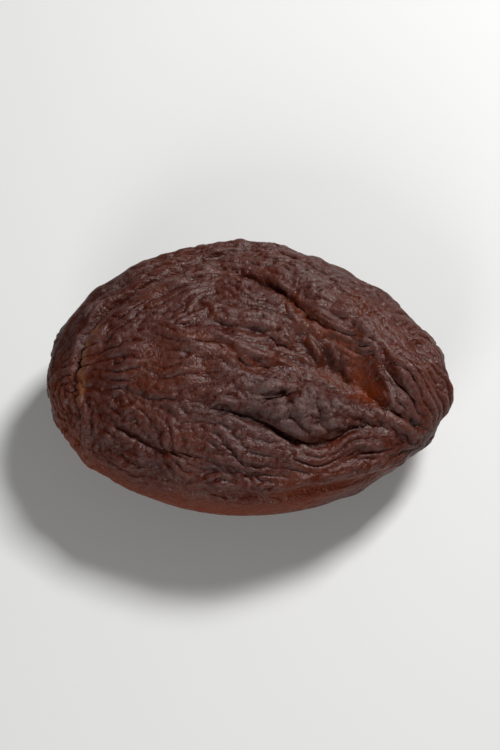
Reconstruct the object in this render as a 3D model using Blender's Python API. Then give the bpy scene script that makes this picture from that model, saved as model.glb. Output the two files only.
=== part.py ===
"""Dried apricot: one whole pitted fruit, shrunken and flattened as it dried, in one closed body.

Metres, +Z up. The fruit lies on its flatter side. X runs along its length, from the blunt tip (-X) to the
stem end (+X). The origin is on the surface it rests on, under the middle of its bounding box.
"""

import bmesh
import bpy
import numpy as np

MM = 0.001

# Driving dimensions
LENGTH = 44.0 * MM
WIDTH = 32.0 * MM
THICKNESS = 16.5 * MM
SETTLE = 0.35 * MM  # how far the underside is pressed flat by the fruit's own weight
CONTACT_EDGE = 0.12 * MM  # rounding between the flat spot and the skin around it

# Plain body, before its folds
HALF_SIZE = np.array((22.0, 16.0, 8.4)) * MM  # along X, Y and Z
UPPER_FLATNESS = 0.22  # 0 is an ellipsoid; more gives a flatter face and a steeper rim
LOWER_FLATNESS = 0.10
SIDE_FLATS = ((38.0, 26.0, 0.08), (-48.0, 22.0, 0.03))  # angle and half width in degrees, share taken off
GRID = 30  # quads along each edge of the cube that is rounded into the fruit
SPAN_STEPS = 4  # straight steps between two points of a fold's path
TAPER = 0.3  # share of a fold's path over which it fades at each end

# Folds of the skin: name, rise of the skin at the fold's middle (negative for a hollow), its reach to each
# side, and the points that it runs through, all in millimetres from the middle of the plain body. The points
# are brought onto the body, so only their direction counts. A path of more than two points fades at its ends.
FOLDS = (
    ("mound", 0.9, 6.5, ((-12.0, 0.5, 7.5), (-5.0, 0.0, 8.5))),
    ("pit_hollow", -2.5, 4.8, ((6.0, -1.0, 8.0), (11.5, -3.5, 7.0))),
    ("valley", -1.5, 2.0, ((1.5, 10.5, 6.0), (6.0, 5.5, 7.5), (9.6, -0.8, 7.5), (14.0, -4.8, 6.0),
                           (19.5, -7.4, 2.5))),
    ("knob", 1.0, 2.3, ((6.2, -6.4, 7.2), (8.8, -5.8, 7.0))),
    ("knob_crease", -0.9, 1.0, ((-1.0, -7.6, 7.2), (5.0, -9.2, 6.6), (9.5, -9.0, 6.2), (14.5, -7.4, 5.0))),
    ("far_rim", 0.9, 2.4, ((3.0, 13.0, 4.0), (10.0, 8.8, 5.3), (15.0, 4.6, 5.2), (18.5, -0.5, 4.2),
                           (18.5, -5.0, 3.2))),
    ("near_ledge", 0.8, 1.2, ((-5.0, -15.2, 3.6), (3.5, -14.5, 3.8), (11.0, -12.4, 3.7), (18.5, -7.6, 3.3))),
    ("suture", -1.7, 1.1, ((-18.6, -8.4, 1.0), (-19.2, -3.5, 3.2), (-18.3, 1.5, 4.6), (-16.2, 5.6, 5.2),
                           (-12.8, 8.6, 5.4), (-8.0, 11.2, 5.6), (-3.1, 12.9, 5.2), (3.0, 14.6, 3.6),
                           (9.0, 14.4, 1.6), (14.5, 11.5, -0.5))),
    ("suture_lip", 0.8, 1.5, ((-20.3, -6.5, 0.4), (-20.6, 0.0, 2.2), (-18.6, 6.0, 2.8), (-14.2, 10.4, 3.0),
                              (-7.0, 13.6, 3.0), (0.0, 15.4, 2.4), (8.0, 15.0, -0.5), (14.0, 12.0, -2.5))),
    ("under_fold", -0.9, 1.4, ((-16.0, 8.5, -4.5), (-7.0, 6.0, -7.5), (1.0, 6.6, -7.8), (9.0, 8.5, -6.5),
                               (16.0, 8.0, -4.0))),
    ("under_dimple", -0.8, 3.0, ((4.0, -8.0, -7.0), (9.0, -7.0, -6.5))),
    ("stem_pucker", -1.5, 1.5, ((21.0, -4.4, -1.4), (21.0, -5.0, -2.0))),
    ("stem_lip", 0.7, 3.2, ((21.0, -4.4, -1.4), (21.0, -5.0, -2.0))),
)


def bump(distance, reach):
    """Bell curve: one at no distance, fading to nothing past about twice the reach."""
    return np.exp(-((distance / reach) ** 2))


def on_body(direction):
    """Brings each point, given as shares of the body's half sizes, straight out onto that ellipsoid."""
    return direction / np.linalg.norm(direction, axis=-1, keepdims=True) * HALF_SIZE


def smooth_path(points):
    """A Catmull-Rom curve through the points, in short straight steps, brought onto the body."""
    knots = np.array(points)
    knots = np.vstack((2.0 * knots[0] - knots[1], knots, 2.0 * knots[-1] - knots[-2]))
    t = np.linspace(0.0, 1.0, SPAN_STEPS, endpoint=False)[:, None]
    spans = []
    for a, b, c, d in zip(knots[:-3], knots[1:-2], knots[2:-1], knots[3:]):
        bend = (2.0 * a - 5.0 * b + 4.0 * c - d) * t**2 + (3.0 * b - a - 3.0 * c + d) * t**3
        spans.append(0.5 * (2.0 * b + (c - a) * t + bend))
    return on_body(np.vstack((*spans, knots[-2:-1])) * MM / HALF_SIZE)


def fold_rise(point, height, reach, path, fades):
    """Rise of the skin over a fold at each point: a bell across the path, which may fade towards its ends."""
    nearest = np.full(len(point), np.inf)
    along = np.zeros(len(point))
    length = np.linalg.norm(np.diff(path, axis=0), axis=1)
    passed = np.concatenate(((0.0,), np.cumsum(length))) / length.sum()
    for start, end, first, last in zip(path[:-1], path[1:], passed[:-1], passed[1:]):
        run = end - start
        share = np.clip((point - start) @ run / (run @ run), 0.0, 1.0)
        distance = np.linalg.norm(point - start - share[:, None] * run, axis=1)
        closer = distance < nearest
        nearest = np.where(closer, distance, nearest)
        along = np.where(closer, first + share * (last - first), along)
    fade = np.clip(np.minimum(along, 1.0 - along) / TAPER, 0.0, 1.0) if fades else 1.0
    return height * fade * fade * (3.0 - 2.0 * fade) * bump(nearest, reach)


def outline(angle):
    """Share of the ellipse's radius at each angle in plan: both sides run flatter towards the stem end."""
    share = 1.0
    for middle, half_width, taken in SIDE_FLATS:
        turned = (np.degrees(angle) - middle + 180.0) % 360.0 - 180.0
        share = share - taken * bump(turned, half_width)
    return share


def fruit_surface(direction):
    """Point of the skin in each unit direction from the middle of the fruit."""
    up = direction[:, 2:]
    plan_share = outline(np.arctan2(direction[:, 1], direction[:, 0]))[:, None]
    flatness = np.where(up > 0.0, UPPER_FLATNESS, LOWER_FLATNESS)
    point = direction * HALF_SIZE * np.hstack((plan_share, plan_share, 1.0 + flatness * (1.0 - up * up)))
    normal = direction / HALF_SIZE
    normal /= np.linalg.norm(normal, axis=1)[:, None]
    plain = on_body(direction)
    rise = np.zeros(len(direction))
    for _, height, reach, points in FOLDS:
        rise += fold_rise(plain, height * MM, reach * MM, smooth_path(points), len(points) > 2)
    return point + normal * rise[:, None]


def rounded_cube():
    """Mesh of a gridded cube, and the unit direction of each vertex with the grid spaced evenly in angle."""
    mesh = bpy.data.meshes.new("apricot")
    shape = bmesh.new()
    bmesh.ops.create_cube(shape, size=2.0)
    bmesh.ops.subdivide_edges(shape, edges=shape.edges, cuts=GRID - 1, use_grid_fill=True)
    shape.to_mesh(mesh)
    shape.free()
    corner = np.empty(len(mesh.vertices) * 3)
    mesh.vertices.foreach_get("co", corner)
    corner = np.tan(corner.reshape(-1, 3) * np.pi / 4.0)
    return mesh, corner / np.linalg.norm(corner, axis=1)[:, None]


def fit_and_settle(point):
    """Scales the skin to the driving dimensions, stands it on Z = 0 and presses its underside flat."""
    low = point.min(axis=0)
    size = point.max(axis=0) - low
    point = (point - low) / size * np.array((LENGTH, WIDTH, THICKNESS + SETTLE))
    point -= np.array((LENGTH / 2.0, WIDTH / 2.0, SETTLE))
    z = point[:, 2]
    rounded = (z + CONTACT_EDGE) ** 2 / (4.0 * CONTACT_EDGE)
    point[:, 2] = np.where(z > CONTACT_EDGE, z, np.where(z < -CONTACT_EDGE, 0.0, rounded))
    return point


def skin_material():
    """Dark leathery skin."""
    material = bpy.data.materials.new("dried_skin")
    material.use_nodes = True
    shader = material.node_tree.nodes["Principled BSDF"]
    shader.inputs["Base Color"].default_value = (0.075, 0.026, 0.018, 1.0)
    shader.inputs["Roughness"].default_value = 0.45
    shader.inputs["Metallic"].default_value = 0.0
    return material


def main():
    for obj in list(bpy.data.objects):
        bpy.data.objects.remove(obj)
    mesh, direction = rounded_cube()
    point = fit_and_settle(fruit_surface(direction))
    mesh.vertices.foreach_set("co", point.ravel())
    mesh.shade_smooth()
    mesh.materials.append(skin_material())
    apricot = bpy.data.objects.new("apricot", mesh)
    collection = bpy.data.collections.new("apricot")
    bpy.context.scene.collection.children.link(collection)
    collection.objects.link(apricot)


main()
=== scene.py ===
import math

import bpy
import numpy as np
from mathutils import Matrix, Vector


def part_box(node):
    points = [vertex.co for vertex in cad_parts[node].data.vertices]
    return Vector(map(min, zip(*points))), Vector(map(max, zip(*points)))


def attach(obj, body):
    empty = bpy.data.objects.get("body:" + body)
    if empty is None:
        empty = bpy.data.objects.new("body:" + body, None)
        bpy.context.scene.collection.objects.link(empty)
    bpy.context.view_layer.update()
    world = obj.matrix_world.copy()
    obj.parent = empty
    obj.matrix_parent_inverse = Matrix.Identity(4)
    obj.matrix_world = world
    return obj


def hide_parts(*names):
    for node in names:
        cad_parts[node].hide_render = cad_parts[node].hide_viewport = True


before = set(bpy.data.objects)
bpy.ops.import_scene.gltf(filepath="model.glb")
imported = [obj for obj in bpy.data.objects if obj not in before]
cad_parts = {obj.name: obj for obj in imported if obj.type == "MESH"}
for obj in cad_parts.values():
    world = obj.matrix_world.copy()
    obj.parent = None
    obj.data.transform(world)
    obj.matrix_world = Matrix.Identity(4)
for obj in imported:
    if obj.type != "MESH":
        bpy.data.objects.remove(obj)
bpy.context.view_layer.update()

MM = 0.001

# Body, as in the CAD: half sizes along X, Y and Z, and how much flatter than an ellipsoid its faces are
HALF = np.array((22.0, 16.0, 8.4)) * MM
UPPER_FLATNESS = 0.22
LOWER_FLATNESS = 0.10
SIDE_FLATS = ((38.0, 26.0, 0.08), (-48.0, 22.0, 0.03))
SETTLE = 0.35 * MM
CONTACT_EDGE = 0.12 * MM
STEPS = 128  # quads along each edge of the rounded cube
SKETCH_TILT = math.radians(27.0)  # the upper face is drawn on a plane tipped this far towards -Y
TAPER = 0.3

# Folds: name, rise (negative is a hollow), reach to each side, points. Two numbers are a point drawn on the
# tipped plane and dropped square onto the body; three are a direction from its middle. All in millimetres.
FOLDS = (
    ("mound", 0.9, 6.5, ((-12.0, 0.5, 7.5), (-5.0, 0.0, 8.5))),
    ("pit_hollow", -2.0, 4.4, ((6.5, 3.4), (11.0, 0.4))),
    ("pit_floor", -0.8, 2.1, ((6.8, 4.4), (9.0, 3.2), (10.9, 1.5), (12.2, -0.6), (14.4, -3.2))),
    ("long_crease", -0.8, 0.5, ((-4.5, 12.6), (-1.5, 12.0), (2.0, 10.8), (5.0, 9.0), (8.2, 7.1),
                                (10.6, 5.0))),
    ("end_crease", -0.7, 0.5, ((12.2, 1.6), (13.2, -0.4), (14.6, -2.6), (16.8, -4.4), (20.0, -5.4))),
    ("far_band", 0.75, 1.5, ((1.0, 13.2), (6.0, 10.9), (11.2, 7.8), (14.2, 4.2), (16.4, 0.4), (18.6, -3.0))),
    ("knob", 1.45, 2.0, ((5.8, -2.6), (9.0, -3.4))),
    ("knob_moat", -0.6, 0.6, ((2.0, -2.6), (3.4, -1.6), (5.0, -0.6), (7.4, 0.4), (9.4, -0.6), (11.6, -2.4))),
    ("knob_crease", -1.0, 0.7, ((-8.0, -2.0), (-4.5, -2.6), (-0.5, -3.5), (2.4, -4.4), (4.6, -6.1),
                                (6.8, -6.8), (9.2, -6.3), (12.0, -5.2), (15.0, -5.4), (18.0, -6.0))),
    ("near_ledge", 0.75, 0.75, ((-8.0, -9.4), (-3.5, -11.2), (2.0, -11.4), (7.0, -10.6), (12.0, -9.5),
                                (18.0, -8.2))),
    ("ledge_crease", -0.6, 0.7, ((-7.0, -10.6), (-3.0, -12.2), (2.0, -12.6), (7.0, -11.9), (12.0, -10.9),
                                 (18.0, -9.4))),
    ("suture", -1.3, 0.45, ((-20.0, -6.0), (-19.2, -2.0), (-18.6, 1.6), (-17.6, 5.0), (-15.4, 7.6),
                            (-12.2, 9.8), (-8.6, 11.9), (-4.6, 13.5), (0.0, 14.4), (5.0, 13.6),
                            (10.0, 11.0))),
    ("suture_inner", 0.35, 0.7, ((-17.6, -2.0), (-17.2, 1.6), (-16.2, 4.6), (-14.2, 6.8), (-11.2, 8.8),
                                 (-7.8, 10.8), (-4.0, 12.4), (0.0, 13.2))),
    ("rim_line", -0.4, 0.4, ((-20.9, 0.6), (-20.0, 4.2), (-17.8, 7.6), (-14.0, 10.4), (-9.4, 12.9),
                             (-4.4, 14.6))),
    ("suture_lip", 0.8, 1.5, ((-20.3, -6.5, 0.4), (-20.6, 0.0, 2.2), (-18.6, 6.0, 2.8), (-14.2, 10.4, 3.0),
                              (-7.0, 13.6, 3.0), (0.0, 15.4, 2.4), (8.0, 15.0, -0.5), (14.0, 12.0, -2.5))),
    ("wave_crease", -0.5, 0.5, ((-7.0, 4.4), (-5.0, 4.0), (-3.4, 4.1), (-2.2, 3.0), (-0.4, 2.0), (2.4, 1.8),
                                (5.4, 2.2))),
    ("wave_crest", 0.35, 0.5, ((-6.0, 5.0), (-3.6, 5.2), (-1.8, 4.2), (0.2, 3.2), (3.0, 2.9), (5.0, 3.2))),
    ("upper_branch", -0.5, 0.55, ((-5.4, 7.4), (-3.0, 6.2), (0.0, 5.9), (2.6, 5.0), (4.6, 4.2), (6.0, 3.0))),
    ("left_crease", -0.25, 0.45, ((-15.0, -0.2), (-12.4, -1.4), (-9.4, -2.0), (-6.4, -2.0))),
    ("low_crease", -0.5, 0.55, ((-16.0, -3.8), (-12.6, -6.0), (-9.0, -7.4), (-6.0, -8.2), (-2.6, -8.0))),
    ("knob_ridge", 0.55, 0.38, ((7.0, -1.0), (8.0, -2.6), (8.8, -4.2), (9.6, -5.8))),
    ("knob_ridge_left", 0.55, 0.38, ((5.0, -1.4), (5.6, -3.2), (6.8, -5.2))),
    ("knob_ridge_right", 0.35, 0.38, ((9.6, -1.8), (10.8, -3.0), (11.6, -4.6))),
    ("knob_split", -0.55, 0.38, ((6.2, -1.6), (7.2, -3.2), (8.0, -5.4))),
    ("knob_split_left", -0.4, 0.4, ((3.6, -1.8), (4.2, -3.2), (5.0, -4.6))),
    ("tail_ridge", 0.5, 0.4, ((0.4, -1.2), (2.4, -0.4), (4.6, -0.6), (6.8, -0.4))),
    ("tail_crease", -0.4, 0.38, ((0.2, -2.0), (2.0, -1.6), (3.8, -1.4), (6.0, -1.2))),
    ("pit_hump_left", 0.75, 0.5, ((6.4, 6.2), (7.3, 4.6), (8.2, 2.2))),
    ("pit_hump_right", 0.7, 0.42, ((8.8, 5.2), (9.7, 3.4), (10.3, 1.8))),
    ("pit_hump_last", 0.6, 0.42, ((10.7, 3.2), (11.4, 1.2))),
    ("band_crease", -0.35, 0.5, ((12.6, 7.2), (14.0, 4.4), (15.4, 1.2), (17.0, -1.4), (19.6, -4.2))),
    ("rim_curl", 0.4, 0.6, ((-10.0, 10.2), (-7.4, 10.4), (-5.2, 11.8), (-2.6, 11.6))),
    ("under_fold", -0.9, 1.4, ((-16.0, 8.5, -4.5), (-7.0, 6.0, -7.5), (1.0, 6.6, -7.8), (9.0, 8.5, -6.5),
                               (16.0, 8.0, -4.0))),
    ("under_dimple", -0.8, 3.0, ((4.0, -8.0, -7.0), (9.0, -7.0, -6.5))),
    ("stem_pucker", -1.5, 1.5, ((21.0, -4.4, -1.4), (21.0, -5.0, -2.0))),
    ("stem_lip", 0.7, 3.2, ((21.0, -4.4, -1.4), (21.0, -5.0, -2.0))),
)

# Which way the wrinkles run: a point drawn on the tipped plane and the angle there, in degrees from +X
GRAIN = (
    (-16.5, 1.5, 12.0), (-15.0, 5.0, 24.0), (-13.0, 2.0, 0.0), (-12.0, 6.0, 14.0), (-7.0, 9.5, 20.0),
    (-3.0, 11.5, -8.0), (0.0, 8.0, -20.0), (3.0, 7.0, -52.0), (-8.0, 5.5, 0.0), (-10.0, 2.0, -6.0),
    (-5.0, 2.5, -6.0), (0.0, 4.5, -22.0), (2.0, 1.0, -8.0), (-13.0, -2.5, -22.0), (-8.0, -1.0, -10.0),
    (-14.0, -6.5, -42.0), (-9.0, -8.0, -32.0), (-3.0, -5.5, -12.0), (-3.0, -9.5, -26.0), (3.0, -8.5, -22.0),
    (9.0, -8.5, 8.0), (14.0, -7.5, 4.0), (18.0, -5.5, -18.0), (7.0, -3.0, -65.0), (3.0, -1.5, -35.0),
    (8.0, 4.0, -68.0), (11.0, -2.5, -40.0), (5.0, 12.0, -28.0), (11.0, 9.0, -38.0), (12.5, 5.0, -62.0),
    (15.5, 1.5, -58.0), (18.5, 0.0, -66.0), (16.5, -3.5, -40.0), (-19.5, 5.0, 62.0), (-14.0, 10.5, 36.0),
    (-7.0, 13.6, 22.0), (20.5, -2.5, -80.0), (-19.0, -5.0, -65.0), (-14.0, -10.5, -30.0), (0.0, -13.5, 0.0),
    (12.0, -11.5, 18.0),
)

# Where the skin is calm: name, share of the wrinkles lost (negative adds to them), reach, points
CALM = (
    ("pit_floor", 0.85, 1.8, ((5.8, 2.4), (8.4, 2.6), (10.8, 1.0), (12.4, -0.8), (14.6, -3.4))),
    ("knob", -0.5, 2.6, ((1.5, -1.6), (5.5, -2.6), (9.0, -3.4))),
    ("far_band", -0.5, 2.0, ((6.0, 10.9), (11.2, 7.8), (14.2, 4.2), (16.4, 0.4), (18.6, -3.0))),
    ("far_rim", 0.5, 1.6, ((0.0, 15.6), (8.0, 13.5), (14.0, 9.5), (18.5, 4.0), (20.8, -1.0))),
    ("near_rim", 0.7, 1.8, ((21.0, 0.0), (20.6, -4.0), (18.6, -8.0), (13.0, -11.4), (6.0, -12.8),
                            (-4.0, -12.8))),
    ("left_rim", 0.5, 1.5, ((-21.0, -4.0), (-20.6, 3.0), (-16.5, 9.5), (-9.0, 13.8), (0.0, 15.6))),
    ("low_left", 0.2, 3.5, ((-15.0, -5.0), (-10.0, -8.0), (-6.0, -9.0))),
    ("left_face", 0.3, 1.4, ((-17.0, -2.0), (-16.8, 1.0), (-15.8, 4.0))),
    ("near_wall", 0.9, 3.8, ((-21.0, -7.0), (-16.0, -11.4), (-8.0, -14.4), (3.0, -15.0), (12.0, -13.2),
                             (18.0, -9.8))),
    ("suture", 0.85, 0.8, ((-19.2, -3.0), (-18.6, 1.6), (-17.6, 5.0), (-15.4, 7.6), (-8.6, 11.9),
                           (0.0, 14.4))),
    ("soft_face", 0.35, 2.2, ((1.0, -7.6), (6.0, -8.6))),
)


# Colour of the skin by place: share, reach and points of each spot. The grey is a dull film on the skin with
# painted sheen on the crests, the dark places are darker, less glossy skin with painted shade along the outer
# rim on the left, the lip is the pale edge of the suture, and amber is where the flesh glows through.
TINTS = {
    # Dull grey film on the skin, which the shader also lays on crests and raised bits as painted sheen
    "bloom_and_sheen": (
        (0.8, 2.6, ((4.0, -2.4), (9.0, -3.4))),
        (0.5, 1.8, ((-1.0, -0.6), (2.0, 0.0), (6.0, 0.2))),
        (0.8, 1.5, ((-21.0, -2.0), (-20.4, 4.0), (-15.6, 10.0), (-9.0, 13.6), (0.0, 15.0), (8.0, 13.0))),
        (0.6, 2.4, ((2.0, 13.0), (8.0, 11.0), (13.0, 8.6))),
        (0.45, 2.6, ((-4.0, -4.0), (4.0, -7.6))),
        (0.5, 2.0, ((10.0, 8.4), (13.0, 5.0), (17.0, 2.0))),
        (0.6, 1.2, ((-10.0, 10.6), (-5.0, 11.6))),
    ),
    "dull_skin_and_shade": (
        # Painted shade: the outer rim on the left is darkened as if it lay in shadow
        (0.9, 1.6, ((-20.6, -3.0), (-20.2, 3.0), (-16.4, 9.0), (-10.0, 13.2), (-2.0, 15.2))),
        (0.6, 2.2, ((1.0, -2.2), (9.0, -3.6))),
        (0.6, 2.4, ((6.0, 3.6), (9.6, 2.0), (12.6, -1.0))),
        (0.5, 0.9, ((-1.5, 12.0), (5.0, 9.0), (10.4, 5.3), (13.0, 0.2), (16.0, -4.0))),
        (0.5, 1.0, ((-16.0, -1.0), (-8.0, -2.6), (0.0, -3.6), (6.0, -6.8))),
    ),
    "lip": (
        (1.0, 0.32, ((-18.2, -4.0), (-17.9, -1.0), (-17.8, 1.4), (-17.0, 4.2), (-15.2, 7.0))),
    ),
    "amber": (
        (0.55, 1.4, ((5.6, 2.2), (8.0, 1.8), (10.8, 0.8), (13.0, -1.2), (15.0, -3.4))),
        (0.25, 2.6, ((6.0, 12.0), (12.0, 8.6), (16.0, 5.0), (19.0, 0.0), (19.6, -5.0))),
        (0.75, 0.9, ((0.0, 11.6), (4.0, 9.6), (8.2, 7.1), (11.4, 4.0), (13.0, 0.2), (15.4, -3.6),
                     (18.0, -5.0))),
        (0.8, 0.9, ((21.0, -4.4, -1.4), (21.0, -5.0, -2.0))),
        (1.0, 3.2, ((-22.0, 3.0), (-21.0, -3.0), (-18.0, -8.6), (-13.0, -12.2), (-6.0, -14.0), (4.0, -14.4),
                    (12.0, -12.4))),
        (0.7, 1.8, ((0.0, -12.8), (6.0, -12.6), (12.0, -11.2), (18.0, -8.4))),
        (0.45, 0.7, ((-10.0, 5.2), (-4.0, 4.2), (0.0, 2.0), (5.0, 2.0))),
        (1.0, 0.55, ((-18.2, -3.0), (-18.1, 1.0), (-17.2, 4.2), (-15.4, 7.0))),
    ),
}

# Wrinkles: wavelength in millimetres, stretch along the grain in wavelengths, and height in millimetres
FOLD_WAVE, FOLD_STRETCH, FOLD_HEIGHT = 4.0, 0.9, 0.14
CREASE_WAVE, CREASE_STRETCH, CREASE_HEIGHT = 2.5, 1.0, 0.42
LUMP_WAVE, LUMP_STRETCH, LUMP_HEIGHT = 0.55, 0.6, 0.15  # this wavelength is a share of the creases' own
PLUMPNESS = 0.8  # power that rounds the skin between two creases
PASSES = 2
UNEVEN_DEPTH = 0.45  # how far the creases' depth strays from its mean
SLOW_TURN, QUICK_TURN = 0.25, 0.36  # how far the wrinkles wander off the grain, in radians

# Colours of the skin, as linear red, green, blue, alpha
CREASE_RED = (0.038, 0.0040, 0.0006, 1)
CREST_BROWN = (0.058, 0.0160, 0.0112, 1)
WARM_BROWN = (0.074, 0.0135, 0.0040, 1)
DEEP_RED = (0.030, 0.0027, 0.0004, 1)
# Darker, duller skin; along the outer rim on the left it is painted shade
DARK_SKIN_AND_SHADE = (0.016, 0.0045, 0.0035, 1)
AMBER = (0.125, 0.0180, 0.0010, 1)
LIP_TAN = (0.170, 0.072, 0.026, 1)
# Dull grey film, taken from the colour of the glints on the crests: partly painted sheen
BLOOM_AND_SHEEN_GREY = (0.092, 0.052, 0.047, 1)
FLECK_TAN = (0.20, 0.125, 0.085, 1)
FLOOR_PAPER = (0.62, 0.62, 0.61, 1)

# Studio
MIDDLE = (0.0, 0.0, 0.0083)
CAMERA_ELEVATION = math.radians(63.0)
CAMERA_DISTANCE = 0.225
SURROUND_LIGHT = 0.08
SURROUND_SEEN = 0.65


def bump(distance, reach):
    """Bell curve: one at no distance, fading to nothing past about twice the reach."""
    return np.exp(-((distance / reach) ** 2))


def unit(vectors):
    """Each row scaled to length one."""
    return vectors / np.linalg.norm(vectors, axis=-1, keepdims=True)


# The tipped drawing plane: its own two directions and its outward direction
SKETCH_U = np.array((1.0, 0.0, 0.0))
SKETCH_V = np.array((0.0, math.cos(SKETCH_TILT), math.sin(SKETCH_TILT)))
SKETCH_OUT = np.array((0.0, -math.sin(SKETCH_TILT), math.cos(SKETCH_TILT)))


def on_body(points):
    """Points of the plain ellipsoid. A drawn point (u, v) goes square to the tipped plane up to the surface:
    the larger root of |(p + t n) / half| = 1. Three numbers are a direction, taken out from the middle."""
    points = np.array(points, dtype=float) * MM
    if points.shape[1] == 3:
        return unit(points / HALF) * HALF
    start = (points[:, :1] * SKETCH_U + points[:, 1:] * SKETCH_V) / HALF
    out = SKETCH_OUT / HALF
    a = out @ out
    b = start @ out
    c = (start * start).sum(axis=1) - 1.0
    reach = (-b + np.sqrt(np.maximum(b * b - a * c, 0.0))) / a
    return unit(start + reach[:, None] * out) * HALF


def smooth_path(points):
    """Catmull-Rom curve through the points in short straight steps, on the ellipsoid."""
    knots = on_body(points)
    knots = np.vstack((2.0 * knots[0] - knots[1], knots, 2.0 * knots[-1] - knots[-2]))
    t = np.linspace(0.0, 1.0, 4, endpoint=False)[:, None]
    spans = []
    for a, b, c, d in zip(knots[:-3], knots[1:-2], knots[2:-1], knots[3:]):
        bend = (2.0 * a - 5.0 * b + 4.0 * c - d) * t**2 + (3.0 * b - a - 3.0 * c + d) * t**3
        spans.append(0.5 * (2.0 * b + (c - a) * t + bend))
    return unit(np.vstack((*spans, knots[-2:-1])) / HALF) * HALF


def near_path(point, points, reach):
    """Bell curve of the distance to the path through the points, which fades towards both ends of a path with
    more than two points."""
    path = smooth_path(points)
    reach = reach * MM
    nearest = np.full(len(point), np.inf)
    along = np.zeros(len(point))
    length = np.linalg.norm(np.diff(path, axis=0), axis=1)
    passed = np.concatenate(((0.0,), np.cumsum(length))) / length.sum()
    for start, end, first, last in zip(path[:-1], path[1:], passed[:-1], passed[1:]):
        run = end - start
        share = np.clip((point - start) @ run / (run @ run), 0.0, 1.0)
        distance = np.linalg.norm(point - start - share[:, None] * run, axis=1)
        closer = distance < nearest
        nearest = np.where(closer, distance, nearest)
        along = np.where(closer, first + share * (last - first), along)
    fade = np.clip(np.minimum(along, 1.0 - along) / TAPER, 0.0, 1.0) if len(points) > 2 else 1.0
    return fade * fade * (3.0 - 2.0 * fade) * bump(nearest, reach)


def drift(point, wavelength, seed, count=24):
    """Smooth random field: the sum of many plane waves of about this wavelength, each its own way, divided so
    that its own strength is one."""
    rng = np.random.default_rng(seed)
    pitch = rng.normal(size=(count, 3))
    way = unit(pitch) * rng.uniform(0.7, 1.5, (count, 1)) * 2.0 * np.pi / (wavelength * MM)
    return np.cos(point @ way.T + rng.uniform(0.0, 2.0 * np.pi, count)).sum(axis=1) * math.sqrt(2.0 / count)


def cube_net(steps):
    """Six square grids folded into a cube and welded: unit directions spaced evenly in angle, the quads, and
    the number of the vertex at each grid point (face, row, column)."""
    ticks = np.arange(steps + 1)
    u, v = np.meshgrid(ticks, ticks, indexing="ij")
    low = np.zeros_like(u)
    high = np.full_like(u, steps)
    sides = ((low, v, u), (high, u, v), (u, low, v), (v, high, u), (v, u, low), (u, v, high))
    lattice = np.concatenate([np.stack(side, axis=-1).reshape(-1, 3) for side in sides])
    code = lattice @ np.array(((steps + 1) ** 2, steps + 1, 1))
    _, first, number = np.unique(code, return_index=True, return_inverse=True)
    number = number.reshape(6, steps + 1, steps + 1)
    corners = (number[:, :-1, :-1], number[:, 1:, :-1], number[:, 1:, 1:], number[:, :-1, 1:])
    quads = np.stack(corners, axis=-1).reshape(-1, 4)
    direction = unit(np.tan((lattice[first] / steps * 2.0 - 1.0) * np.pi / 4.0))
    return direction, quads, number


def cell_of(direction, number):
    """The four vertices round each direction, and the share of each: bilinear on the cube's face it meets."""
    axis = np.abs(direction).argmax(axis=1)
    rows = np.arange(len(direction))
    major = direction[rows, axis]
    side = axis * 2 + (major > 0.0)
    u_axis = np.array((2, 1, 0, 2, 1, 0))[side]
    v_axis = np.array((1, 2, 2, 0, 0, 1))[side]
    steps = number.shape[1] - 1
    place = []
    for other in (u_axis, v_axis):
        angle = np.arctan(direction[rows, other] / np.abs(major)) * 4.0 / np.pi
        place.append(np.clip((angle + 1.0) * 0.5 * steps, 0.0, steps - 1e-6))
    i, j = place[0].astype(int), place[1].astype(int)
    s, t = place[0] - i, place[1] - j
    near = (number[side, i, j], number[side, i + 1, j])
    far = (number[side, i, j + 1], number[side, i + 1, j + 1])
    vertex = np.stack(near + far)
    share = np.stack(((1 - s) * (1 - t), s * (1 - t), (1 - s) * t, s * t))
    return vertex, share


def pull(values, cell):
    """Values read at the cells' places."""
    vertex, share = cell
    return (values[vertex] * share).sum(axis=0)


def vertex_normals(point, quads):
    """Area-weighted normals: the cross product of each quad's diagonals, summed at its corners."""
    cross = np.cross(point[quads[:, 2]] - point[quads[:, 0]], point[quads[:, 3]] - point[quads[:, 1]])
    total = np.zeros_like(point)
    for axis in range(3):
        for corner in range(4):
            total[:, axis] += np.bincount(quads[:, corner], weights=cross[:, axis], minlength=len(point))
    return unit(total)


def plain_body(direction):
    """The fruit without folds: half sizes times direction, less a bell-shaped share on the straighter sides;
    the height also gains its flatness times the square of the sine of the angle from upright."""
    up = direction[:, 2:]
    angle = np.degrees(np.arctan2(direction[:, 1], direction[:, 0]))
    share = np.ones(len(direction))
    for middle, half_width, taken in SIDE_FLATS:
        share -= taken * bump((angle - middle + 180.0) % 360.0 - 180.0, half_width)
    flatness = np.where(up > 0.0, UPPER_FLATNESS, LOWER_FLATNESS)
    return direction * HALF * np.column_stack((share, share, 1.0 + flatness * (1.0 - up * up)))


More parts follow.
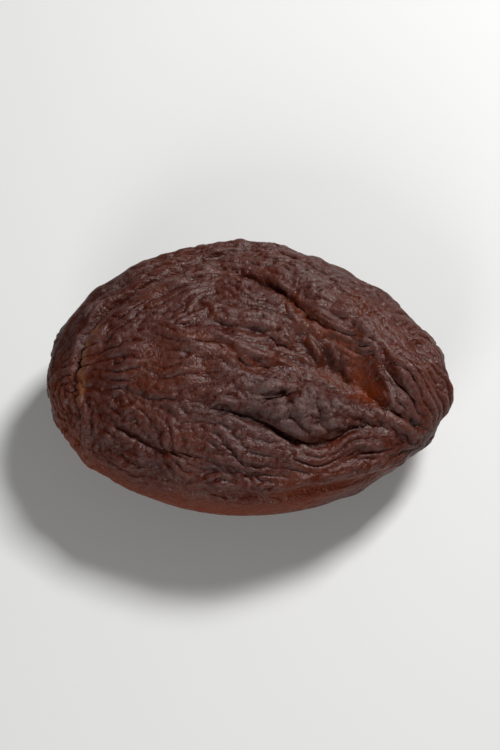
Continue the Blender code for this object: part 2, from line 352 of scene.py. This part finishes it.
def grain_direction(place, normal, turn):
    """Unit tangent along the wrinkles: nearby guide directions are averaged as outer products, the average is
    cut down to the tangent plane, and its main direction is turned by a slow random angle."""
    guide = on_body([g[:2] for g in GRAIN])
    guide_normal = unit(guide / HALF**2)
    angle = np.radians([g[2] for g in GRAIN])[:, None]
    way = np.cos(angle) * SKETCH_U + np.sin(angle) * SKETCH_V
    way = unit(way - (way * guide_normal).sum(axis=1, keepdims=True) * guide_normal)
    weight = np.exp(-((place[:, None] - guide[None]) ** 2).sum(axis=2) / (2.6 * MM) ** 2)
    tensor = np.einsum("ng,gi,gj->nij", weight, way, way)
    tensor[:, 0, 0] += 0.03
    first = unit(np.cross(normal, (0.0, 1.0, 0.15)))
    second = np.cross(normal, first)
    t11 = np.einsum("ni,nij,nj->n", first, tensor, first)
    t12 = np.einsum("ni,nij,nj->n", first, tensor, second)
    t22 = np.einsum("ni,nij,nj->n", second, tensor, second)
    angle = 0.5 * np.arctan2(2.0 * t12, t11 - t22) + turn
    along = np.cos(angle)[:, None] * first + np.sin(angle)[:, None] * second
    return along, np.cross(normal, along)


def wrinkle_pattern(direction, quads, number, along, across, wavelength, stretch, passes, seed):
    """Wrinkles from noise: it is smeared along the grain, then filtered across it by a bell-shaped wave of
    the wanted wavelength, and the two are repeated so that the lines join up. The result is about -1 to 1."""
    def cell(offset):
        return cell_of(unit(direction + offset / HALF), number)

    step = wavelength / 6.0  # a sixth of a wave, so that the cosine below turns by pi / 3 each step
    wave = []
    for k in range(-4, 5):
        bell = math.exp(-(k / 2.6) ** 2)
        wave.append((k, math.cos(k * math.pi / 3.0) * bell, bell))
    level = sum(w[1] for w in wave) / sum(w[2] for w in wave)
    filters = [(gain - level * bell, cell(across * step[:, None] * k)) for k, gain, bell in wave]
    length = stretch * wavelength[:, None] * along
    smears = [(cell(length * d), cell(length * -d)) for d in (0.15, 0.3, 0.6)]
    value = np.random.default_rng(seed).normal(size=len(direction))
    for _ in range(passes):
        value = soften(value, quads, 1)
        for ahead, behind in smears:
            value = 0.5 * value + 0.25 * (pull(value, ahead) + pull(value, behind))
        value = sum(gain * pull(value, place) for gain, place in filters)
        value = np.tanh(value / (1.1 * value.std()))
    return value


def soften(values, quads, rounds):
    """Each vertex takes the mean of its quads' middles, several times over."""
    count = np.bincount(quads.ravel(), minlength=len(values))
    for _ in range(rounds):
        middle = np.repeat(values[quads].mean(axis=1), 4)
        values = np.bincount(quads.ravel(), weights=middle, minlength=len(values)) / count
    return values


def fit_and_settle(point, low, high):
    """Scales the skin to the box of the CAD, lets it sink a little into the floor and presses it flat there:
    heights near the floor are eased to zero along a parabola."""
    mine = point.min(axis=0)
    size = point.max(axis=0) - mine
    room = high - low
    room[2] += SETTLE
    point = (point - mine) / size * room + low
    point[:, 2] -= SETTLE
    z = point[:, 2]
    rounded = (z + CONTACT_EDGE) ** 2 / (4.0 * CONTACT_EDGE)
    point[:, 2] = np.where(z > CONTACT_EDGE, z, np.where(z < -CONTACT_EDGE, 0.0, rounded))
    return point


def apricot_skin():
    """The whole fruit: plain body, folds and creases, then wrinkles of three sizes that run along the grain.
    A wide wave is added as it is. Creases and lumps are the size of a wave without its sign, so that the skin
    is plump between thin creases, which lie where the wave changes sign."""
    direction, quads, number = cube_net(STEPS)
    place = direction * HALF
    point = plain_body(direction)
    normal = unit(direction / HALF)
    rise = sum(height * MM * near_path(place, path, reach) for _, height, reach, path in FOLDS)
    point = point + normal * rise[:, None]
    normal = vertex_normals(point, quads)

    calm = np.ones(len(direction))
    for _, lost, reach, path in CALM:
        calm *= 1.0 - lost * near_path(place, path, reach)
    turn = SLOW_TURN * drift(place, 7.0, 3) + QUICK_TURN * drift(place, 2.5, 4)
    along, across = grain_direction(place, normal, turn)
    patch = 1.0 + UNEVEN_DEPTH * drift(place, 5.0, 5)

    def wrinkles(wavelength, stretch, seed):
        return wrinkle_pattern(direction, quads, number, along, across, wavelength, stretch, PASSES, seed)

    medium = (CREASE_WAVE + 0.3 * drift(place, 8.0, 6)) * MM
    fold = wrinkles(np.full(len(direction), FOLD_WAVE * MM), FOLD_STRETCH, 11)
    crease = np.abs(wrinkles(medium, CREASE_STRETCH, 12)) ** PLUMPNESS
    lumps = np.abs(wrinkles(LUMP_WAVE * medium, LUMP_STRETCH, 13)) ** PLUMPNESS
    relief = calm * (FOLD_HEIGHT * fold + CREASE_HEIGHT * patch * crease + LUMP_HEIGHT * lumps)
    point = point + normal * relief[:, None] * MM
    point = fit_and_settle(point, *[np.array(c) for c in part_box("apricot")])

    sharp = vertex_normals(point, quads)
    mean = np.column_stack([soften(point[:, axis], quads, 8) for axis in range(3)])
    hollow = ((mean - point) * sharp).sum(axis=1) / MM
    fields = {"crease": crease * calm, "lump": lumps * calm, "hollow": hollow}
    for name, spots in TINTS.items():
        total = sum(share * near_path(place, path, reach) for share, reach, path in spots)
        fields[name] = np.clip(total, 0.0, 1.0)
    return point, quads, fields


def apricot_piece():
    """Makes the skin a mesh that carries its numbers, hangs it on the root body and hides the CAD part that
    it replaces.
    """
    point, quads, fields = apricot_skin()
    mesh = bpy.data.meshes.new("apricot_skin")
    mesh.from_pydata(point, [], quads.tolist())
    for name, values in fields.items():
        layer = mesh.attributes.new(name, "FLOAT", "POINT")
        layer.data.foreach_set("value", values.astype(np.float32))
    mesh.shade_smooth()
    mesh.update()
    apricot = bpy.data.objects.new("apricot_skin", mesh)
    bpy.context.scene.collection.objects.link(apricot)
    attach(apricot, "root")
    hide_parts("apricot")
    return apricot


def node(tree, kind, inputs=(), **settings):
    """Adds a node, sets its properties, and fills its inputs with values or with other nodes' outputs."""
    made = tree.nodes.new(kind)
    for name, value in settings.items():
        setattr(made, name, value)
    for name, value in dict(inputs).items():
        if isinstance(value, bpy.types.NodeSocket):
            tree.links.new(value, made.inputs[name])
        else:
            made.inputs[name].default_value = value
    return made


def reading(tree, name):
    """A number that the skin carries at each vertex."""
    return node(tree, "ShaderNodeAttribute", attribute_name=name).outputs["Fac"]


def spread(tree, value, low, high, start=0.0, end=1.0):
    """Maps low..high to start..end with soft ends."""
    inputs = {"Value": value, "From Min": low, "From Max": high, "To Min": start, "To Max": end}
    return node(tree, "ShaderNodeMapRange", inputs, interpolation_type="SMOOTHSTEP").outputs["Result"]


def blend(tree, share, first, second):
    """Mixes two colours by a share."""
    mixed = node(tree, "ShaderNodeMix", data_type="RGBA")
    for socket, value in ((0, share), (6, first), (7, second)):
        if isinstance(value, bpy.types.NodeSocket):
            tree.links.new(value, mixed.inputs[socket])
        else:
            mixed.inputs[socket].default_value = value
    return mixed.outputs[2]


def maths(tree, first, second, operation="MULTIPLY"):
    """One number worked out from two."""
    return node(tree, "ShaderNodeMath", {0: first, 1: second}, operation=operation).outputs["Value"]


def dried_skin():
    """Dark leathery skin: red in its creases, brown between them, with amber places, darker and duller places
    that are partly painted shade along the outer rim on the left, a dull grey film on its crests that is
    partly painted sheen, and a few pale flecks. A fine grain breaks up its colour, gloss and surface."""
    material = bpy.data.materials.new("dried_skin")
    material.use_nodes = True
    tree = material.node_tree
    shader = tree.nodes["Principled BSDF"]
    place = node(tree, "ShaderNodeTexCoord").outputs["Object"]

    def noise(scale, detail):
        inputs = {"Vector": place, "Scale": scale, "Detail": detail}
        return node(tree, "ShaderNodeTexNoise", inputs).outputs["Fac"]

    cloudy = noise(180.0, 4.0)
    grainy = noise(1800.0, 4.0)
    pored = noise(5200.0, 2.0)

    crest = maths(tree, reading(tree, "crease"), maths(tree, reading(tree, "lump"), 0.6), "ADD")
    crest = maths(tree, crest, maths(tree, maths(tree, grainy, 0.5, "SUBTRACT"), 2.0), "ADD")
    height = spread(tree, crest, 0.3, 1.4)
    hollow = spread(tree, reading(tree, "hollow"), 0.0, 0.10)
    raised = spread(tree, reading(tree, "hollow"), -0.02, -0.12)
    skin = blend(tree, height, CREASE_RED, CREST_BROWN)
    skin = blend(tree, spread(tree, cloudy, 0.35, 0.7, 0.0, 0.65), skin, WARM_BROWN)
    skin = blend(tree, maths(tree, hollow, 0.8), skin, DEEP_RED)
    # Darker, duller skin, and painted shade along the outer rim on the left
    skin = blend(tree, maths(tree, reading(tree, "dull_skin_and_shade"), 0.6), skin, DARK_SKIN_AND_SHADE)
    skin = blend(tree, maths(tree, reading(tree, "amber"), 0.8), skin, AMBER)
    skin = blend(tree, maths(tree, reading(tree, "lip"), 0.7), skin, LIP_TAN)
    # Dull grey film, strongest on crests and raised bits and speckled by the grain: partly painted sheen
    bloom_and_sheen = spread(tree, reading(tree, "bloom_and_sheen"), 0.05, 0.9, 0.18, 0.85)
    bloom_and_sheen = maths(tree, bloom_and_sheen, spread(tree, grainy, 0.3, 0.62, 0.35, 1.0))
    bloom_and_sheen = maths(tree, bloom_and_sheen, maths(tree, maths(tree, height, 0.7), maths(tree, raised, 0.5), "ADD"))
    skin = blend(tree, bloom_and_sheen, skin, BLOOM_AND_SHEEN_GREY)
    flecks = noise(1300.0, 1.0)
    skin = blend(tree, spread(tree, flecks, 0.72, 0.78, 0.0, 0.5), skin, FLECK_TAN)
    tree.links.new(skin, shader.inputs["Base Color"])

    rough = spread(tree, grainy, 0.3, 0.7, 0.27, 0.47)
    rough = maths(tree, rough, maths(tree, reading(tree, "dull_skin_and_shade"), 0.22), "ADD")
    tree.links.new(rough, shader.inputs["Roughness"])
    dents = maths(tree, maths(tree, grainy, 0.7), maths(tree, pored, 0.3), "ADD")
    grain = node(tree, "ShaderNodeBump", {"Height": dents, "Strength": 1.0, "Distance": 0.00025})
    tree.links.new(grain.outputs["Normal"], shader.inputs["Normal"])
    shader.inputs["IOR"].default_value = 1.35
    shader.inputs["Specular IOR Level"].default_value = 0.4
    shader.inputs["Subsurface Weight"].default_value = 0.2
    shader.inputs["Subsurface Radius"].default_value = (1.0, 0.35, 0.18)
    shader.inputs["Subsurface Scale"].default_value = 0.0008
    return material


def pale_floor():
    """Large pale sheet under the fruit."""
    mesh = bpy.data.meshes.new("floor")
    corners = [(-1, -1, 0), (1, -1, 0), (1, 1, 0), (-1, 1, 0)]
    mesh.from_pydata(corners, [], [(0, 1, 2, 3)])
    material = bpy.data.materials.new("floor_paper")
    material.use_nodes = True
    shader = material.node_tree.nodes["Principled BSDF"]
    shader.inputs["Base Color"].default_value = FLOOR_PAPER
    shader.inputs["Roughness"].default_value = 0.8
    mesh.materials.append(material)
    floor = bpy.data.objects.new("floor", mesh)
    bpy.context.scene.collection.objects.link(floor)


def aim(obj, target):
    """Turns a light or camera to face a point."""
    obj.rotation_mode = "QUATERNION"
    obj.rotation_quaternion = (Vector(target) - obj.location).to_track_quat("-Z", "Y")


def soft_light(name, location, power, size):
    """Square soft box that faces the fruit."""
    light = bpy.data.lights.new(name, "AREA")
    light.energy = power
    light.size = size
    lamp = bpy.data.objects.new(name, light)
    lamp.location = location
    aim(lamp, MIDDLE)
    bpy.context.scene.collection.objects.link(lamp)


def studio():
    """Soft light from above and behind on the right, a weak one from the left front, and a dim even surround
    that the camera sees as a pale backdrop."""
    soft_light("key_light", (0.13, 0.14, 0.24), 1.18, 0.07)
    soft_light("fill_light", (-0.08, -0.26, 0.14), 0.48, 0.12)
    world = bpy.data.worlds.new("studio")
    world.use_nodes = True
    world.node_tree.nodes["Background"].inputs["Color"].default_value = (1.0, 1.0, 1.0, 1.0)
    seen = node(world.node_tree, "ShaderNodeLightPath").outputs["Is Camera Ray"]
    strength = spread(world.node_tree, seen, 0.0, 1.0, SURROUND_LIGHT, SURROUND_SEEN)
    world.node_tree.links.new(strength, world.node_tree.nodes["Background"].inputs["Strength"])
    bpy.context.scene.world = world
    bpy.context.scene.view_settings.view_transform = "Standard"


def camera():
    """Long lens that looks down on the upper face, from the near side."""
    made = bpy.data.objects.new("camera", bpy.data.cameras.new("camera"))
    made.data.lens = 100.0
    made.data.clip_start = 0.01
    way = Vector((0.0, -math.cos(CAMERA_ELEVATION), math.sin(CAMERA_ELEVATION)))
    made.location = Vector(MIDDLE) + way * CAMERA_DISTANCE
    aim(made, MIDDLE)
    bpy.context.scene.collection.objects.link(made)
    bpy.context.scene.camera = made


apricot = apricot_piece()
apricot.data.materials.append(dried_skin())
pale_floor()
studio()
camera()
